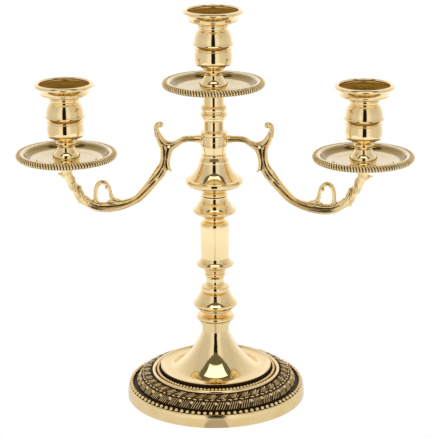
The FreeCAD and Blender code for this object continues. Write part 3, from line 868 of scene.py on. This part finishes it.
def ramp(tree, factor, stops):
    node = tree.nodes.new("ShaderNodeValToRGB")
    tree.links.new(factor, node.inputs["Fac"])
    elements = node.color_ramp.elements
    while len(elements) < len(stops):
        elements.new(0.5)
    for element, (position, level) in zip(elements, stops):
        element.position = position
        element.color = (*level, 1.0)
    return node.outputs["Color"]


def along_front(tree, east, north):
    """The parts of a horizontal place or direction towards the object's front and across it."""
    forward = maths(tree, "ADD", maths(tree, "MULTIPLY", east, math.sin(FRONT)),
                    maths(tree, "MULTIPLY", north, -math.cos(FRONT)))
    sideways = maths(tree, "ADD", maths(tree, "MULTIPLY", east, math.cos(FRONT)),
                     maths(tree, "MULTIPLY", north, math.sin(FRONT)))
    return forward, sideways


def studio_world():
    """Pale surround: dark gap behind the camera, greyer sides, darker ceiling with one light."""
    world = bpy.data.worlds.new("studio")
    bpy.context.scene.world = world
    world.use_nodes = True
    tree = world.node_tree
    background = tree.nodes["Background"]
    place = tree.nodes.new("ShaderNodeTexCoord")
    split = tree.nodes.new("ShaderNodeSeparateXYZ")
    tree.links.new(place.outputs["Generated"], split.inputs["Vector"])

    east, north, up = (split.outputs[axis] for axis in "XYZ")
    azimuth = maths(tree, "ARCTAN2", east, maths(tree, "MULTIPLY", north, -1.0))
    wrapped = maths(tree, "WRAP", maths(tree, "SUBTRACT", azimuth, FRONT), math.pi)
    wrapped.node.inputs[2].default_value = -math.pi
    share = maths(tree, "DIVIDE", maths(tree, "ABSOLUTE", wrapped), math.pi)
    lift = maths(tree, "DIVIDE", maths(tree, "ARCSINE", up), math.pi / 2)
    slit = SLIT_HALF_ANGLE / 180
    walls = ramp(tree, share, [
        (0.0, (0.010, 0.009, 0.008)), (slit - 0.006, (0.012, 0.011, 0.010)),
        (slit + 0.006, (0.96, 0.95, 1.00)),
        (0.17, (0.93, 0.92, 0.97)), (0.25, (0.72, 0.71, 0.75)), (0.50, (0.68, 0.67, 0.71)),
        (0.68, (0.82, 0.81, 0.88)), (0.84, (1.04, 1.04, 1.12))])
    low_band = ramp(tree, lift, [(height, (level,) * 3) for height, level in LOW_BAND])
    walls = mixed(tree, 1.0, walls, low_band, "MULTIPLY")
    edge = ramp(tree, share, [(turn, (degrees / 90,) * 3) for turn, degrees in CEILING_EDGE])
    above = ranged(tree, maths(tree, "SUBTRACT", lift, edge), 0.0, 0.035, 0.0, 1.0)
    forward, sideways = along_front(tree, east, north)
    rise = maths(tree, "MAXIMUM", up, LEAST_DIVISOR)
    lean = maths(tree, "DIVIDE", forward, rise)
    spread = maths(tree, "DIVIDE", maths(tree, "ABSOLUTE", sideways), rise)
    lamp = maths(tree, "MULTIPLY", beyond(tree, lean, LAMP_START, LAMP_FADE),
                 beyond(tree, lean, LAMP_END, -LAMP_FADE))
    lamp = maths(tree, "MULTIPLY", lamp, beyond(tree, spread, LAMP_HALF_WIDTH, -LAMP_FADE))
    ceiling = mixed(tree, lamp, CEILING_COLOUR, LAMP_COLOUR)
    room = mixed(tree, above, walls, ceiling)
    path = tree.nodes.new("ShaderNodeLightPath")
    seen = mixed(tree, path.outputs["Is Camera Ray"], room, WHITE)
    tree.links.new(seen, background.inputs["Color"])


def add_floor():
    """Pale lit table top, plain white to the camera; in reflections, painted shadow dulls it close to the
    base and painted shade darkens a strip towards the dark gap.
    """
    half = TABLE_HALF_WIDTH
    corners = [(x * half, y * half, -TABLE_DROP) for x, y in ((-1, -1), (1, -1), (1, 1), (-1, 1))]
    floor = make_object("floor", corners, [(0, 1, 2, 3)])
    material, tree, shader = new_material("white_table")
    shader.inputs["Base Color"].default_value = (0.0, 0.0, 0.0, 1.0)
    shader.inputs["Specular IOR Level"].default_value = 0.0
    place = tree.nodes.new("ShaderNodeTexCoord")
    split = tree.nodes.new("ShaderNodeSeparateXYZ")
    tree.links.new(place.outputs["Object"], split.inputs["Vector"])
    east, north = split.outputs["X"], split.outputs["Y"]
    forward, sideways = along_front(tree, east, north)
    distance, _ = radius_and_height(tree)
    grain = ranged(tree, noise(tree, 12.0), 0.3, 0.7, 0.0, 0.06)
    # painted shadow: the table glows dimmer close to the base
    glow = ramp(tree, distance, [(0.0, (0.78, 0.78, 0.80)), (0.16, (0.82, 0.82, 0.85)),
                                 (0.30, (1.02, 1.04, 1.12)), (0.44, (1.10, 1.16, 1.32))])
    glow = mixed(tree, grain, glow, TABLE_GRAIN)
    # painted shade: a dark strip on the table towards the dark gap
    ahead = maths(tree, "MAXIMUM", forward, LEAST_DIVISOR)
    spread = maths(tree, "DIVIDE", maths(tree, "ABSOLUTE", sideways), ahead)
    strip = ranged(tree, spread, 0.15, 0.13, 0.0, 1.0)
    strength = ranged(tree, distance, 0.12, 0.40, 0.50, 0.12)
    glow = mixed(tree, maths(tree, "MULTIPLY", strip, strength), glow, STRIP_SHADE_COLOUR)
    path = tree.nodes.new("ShaderNodeLightPath")
    seen = mixed(tree, path.outputs["Is Camera Ray"], glow, WHITE)
    tree.links.new(seen, shader.inputs["Emission Color"])
    shader.inputs["Emission Strength"].default_value = 1.0
    floor.data.materials.append(material)


add_camera()
studio_world()
add_floor()
bpy.context.scene.view_settings.view_transform = "Standard"
